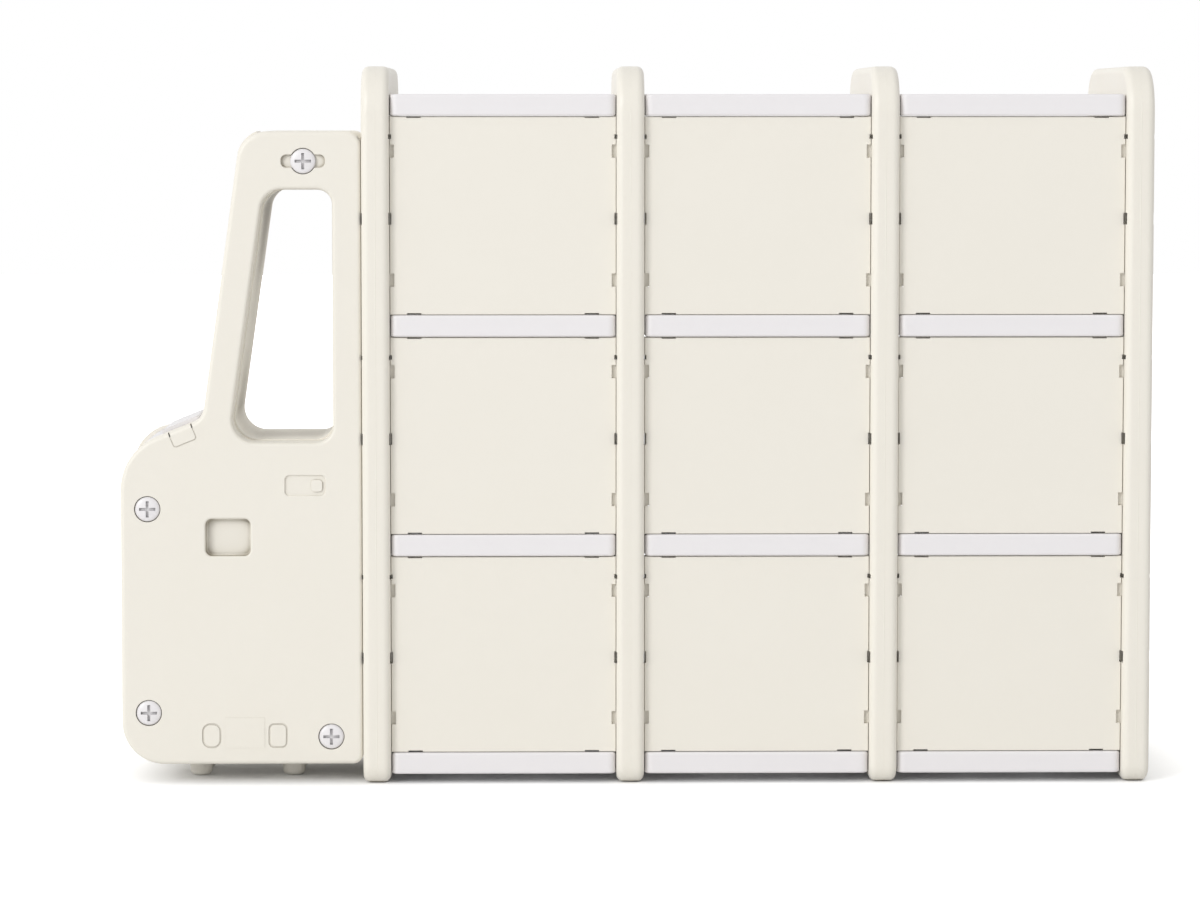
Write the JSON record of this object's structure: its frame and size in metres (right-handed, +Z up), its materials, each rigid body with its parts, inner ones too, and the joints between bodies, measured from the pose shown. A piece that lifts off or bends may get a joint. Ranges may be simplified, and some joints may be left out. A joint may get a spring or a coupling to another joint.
{
  "type": "toy shelf",
  "caption": "Low moulded toy shelf in open bays between rounded uprights, with closed back panels and a truck-cab-shaped end piece with a window.",
  "frame": {"origin": "on the floor under the middle of the whole shelf", "axes": "+X along the length away from the cab, +Y towards the open front, +Z up"},
  "size_m": [1.149, 0.34, 0.8],
  "materials": {
    "upright": "satin moulded cream plastic",
    "board": "satin moulded cool white plastic",
    "panel": "satin moulded cream plastic",
    "cab": "satin moulded cream plastic",
    "hood": "satin moulded cool white plastic",
    "screw": "satin moulded cool white plastic",
    "foot": "satin moulded cream plastic"
  },
  "bodies": {
    "root": {"upright_cab_end": "upright", "upright_inner_left": "upright", "upright_inner_right": "upright", "upright_far_end": "upright", "shelf_board_left_base": "board", "shelf_board_left_lower": "board", "shelf_board_left_upper": "board", "shelf_board_left_top": "board", "back_panel_left_bottom": "panel", "back_panel_left_centre": "panel", "back_panel_left_top": "panel", "shelf_board_middle_base": "board", "shelf_board_middle_lower": "board", "shelf_board_middle_upper": "board", "shelf_board_middle_top": "board", "back_panel_middle_bottom": "panel", "back_panel_middle_centre": "panel", "back_panel_middle_top": "panel", "shelf_board_right_base": "board", "shelf_board_right_lower": "board", "shelf_board_right_upper": "board", "shelf_board_right_top": "board", "back_panel_right_bottom": "panel", "back_panel_right_centre": "panel", "back_panel_right_top": "panel", "cab_cover": "cab", "cab_body": "cab", "hood_insert": "hood", "cab_screws": "screw", "cab_feet": "foot"}
  },
  "joints": []
}
